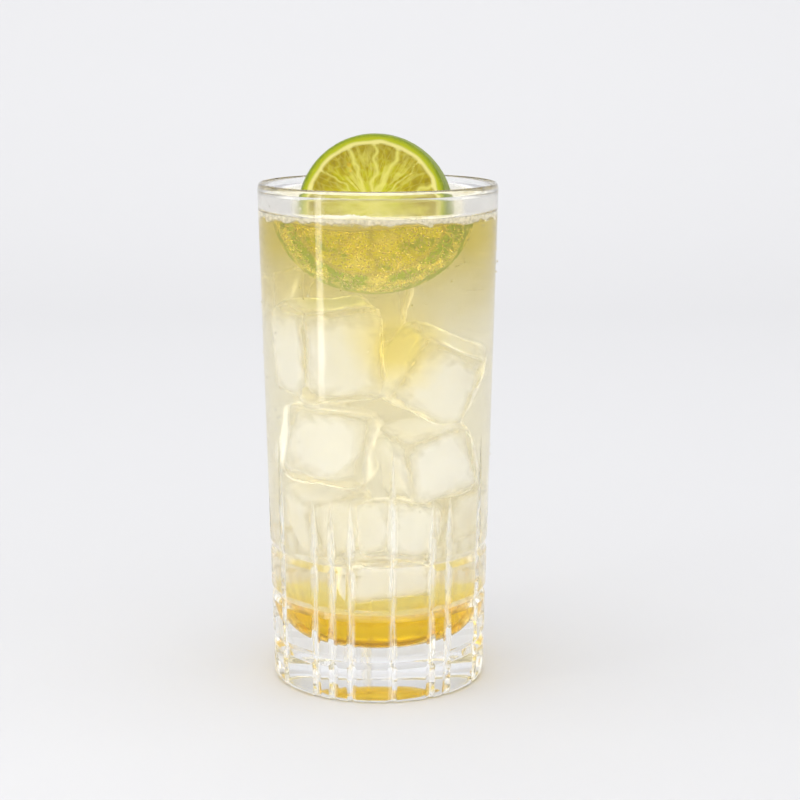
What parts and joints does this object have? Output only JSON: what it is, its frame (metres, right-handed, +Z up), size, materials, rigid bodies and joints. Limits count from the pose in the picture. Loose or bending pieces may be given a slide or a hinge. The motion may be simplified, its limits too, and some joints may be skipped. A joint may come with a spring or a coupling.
{
  "type": "iced lime drink in a cut glass tumbler",
  "caption": "Tall cut glass tumbler filled with a pale iced drink over a dense amber layer, with a thick lime slice standing in it.",
  "frame": {"origin": "centre of the tumbler's foot, on the surface it stands on", "axes": "+Z up the tumbler's axis, -Y towards the viewer, where the cut face of the lime slice looks"},
  "size_m": [0.0744, 0.0744, 0.1719],
  "materials": {
    "clear_glass": "polished, with wheel cuts round the foot",
    "pale_drink": "cloudy pale yellow liquid with ice",
    "amber_drink": "dense amber liquid",
    "lime": "fresh cut fruit with a waxy green skin"
  },
  "bodies": {
    "root": {"tumbler": "clear_glass", "drink": "pale_drink", "amber_layer": "amber_drink", "lime_slice": "lime"}
  },
  "joints": []
}
